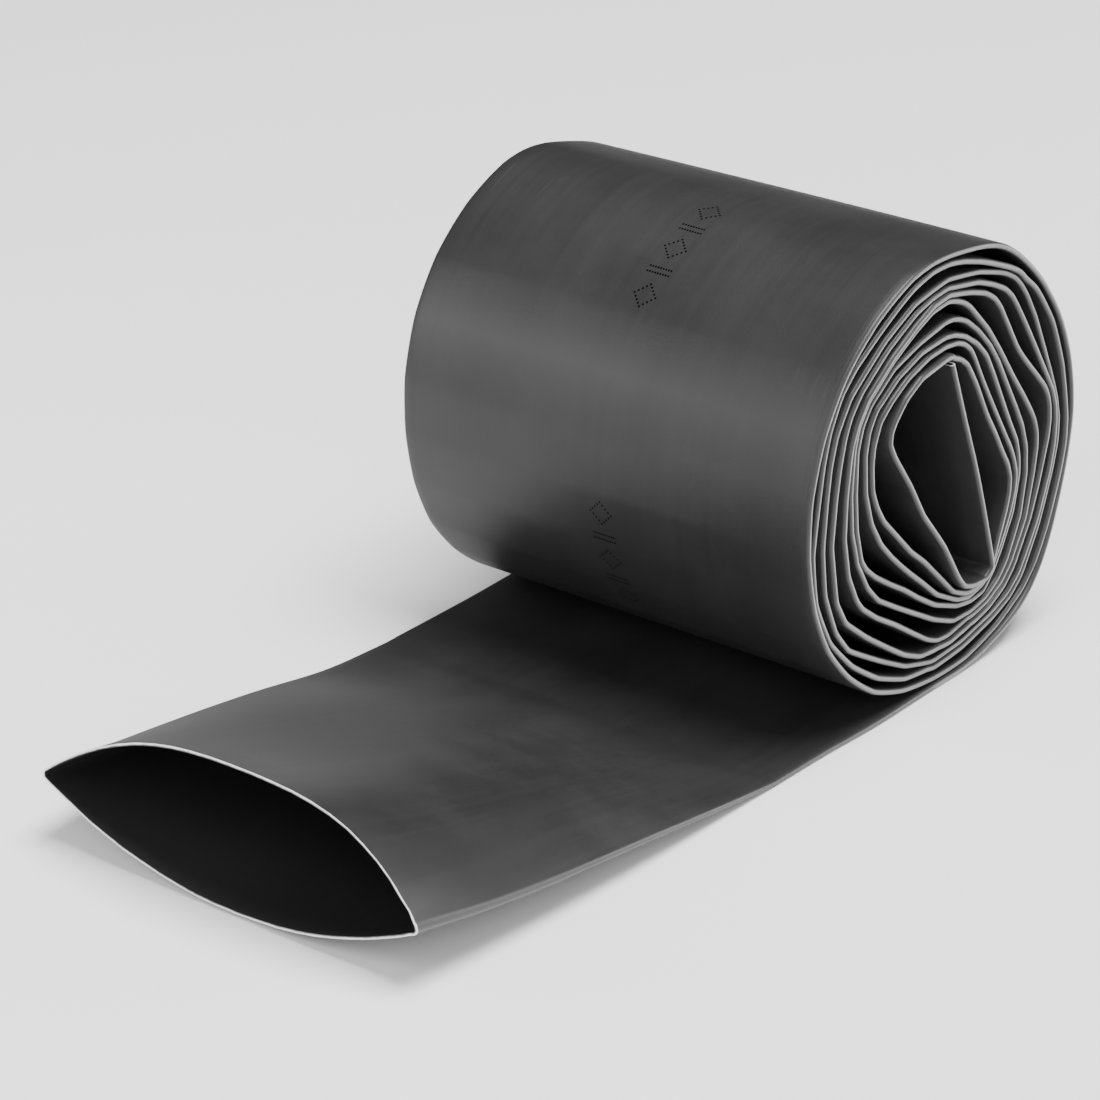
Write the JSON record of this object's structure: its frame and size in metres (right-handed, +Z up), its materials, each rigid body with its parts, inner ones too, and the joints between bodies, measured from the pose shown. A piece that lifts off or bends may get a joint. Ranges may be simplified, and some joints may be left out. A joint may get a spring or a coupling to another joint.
{
  "type": "heat shrink tube",
  "caption": "Wide heat shrink tube pressed flat and wound into a loose roll, with its free end lying out on the surface and opening into a mouth.",
  "frame": {"origin": "on the floor under the middle of the bounding box", "axes": "+Z up, X along the roll's axis and the tube's flat width, -Y towards the open mouth of the free end"},
  "size_m": [0.0792, 0.162, 0.0747],
  "materials": {
    "polyolefin": "satin dark grey, extruded"
  },
  "bodies": {
    "root": {"heat_shrink_tube": "polyolefin"}
  },
  "joints": []
}
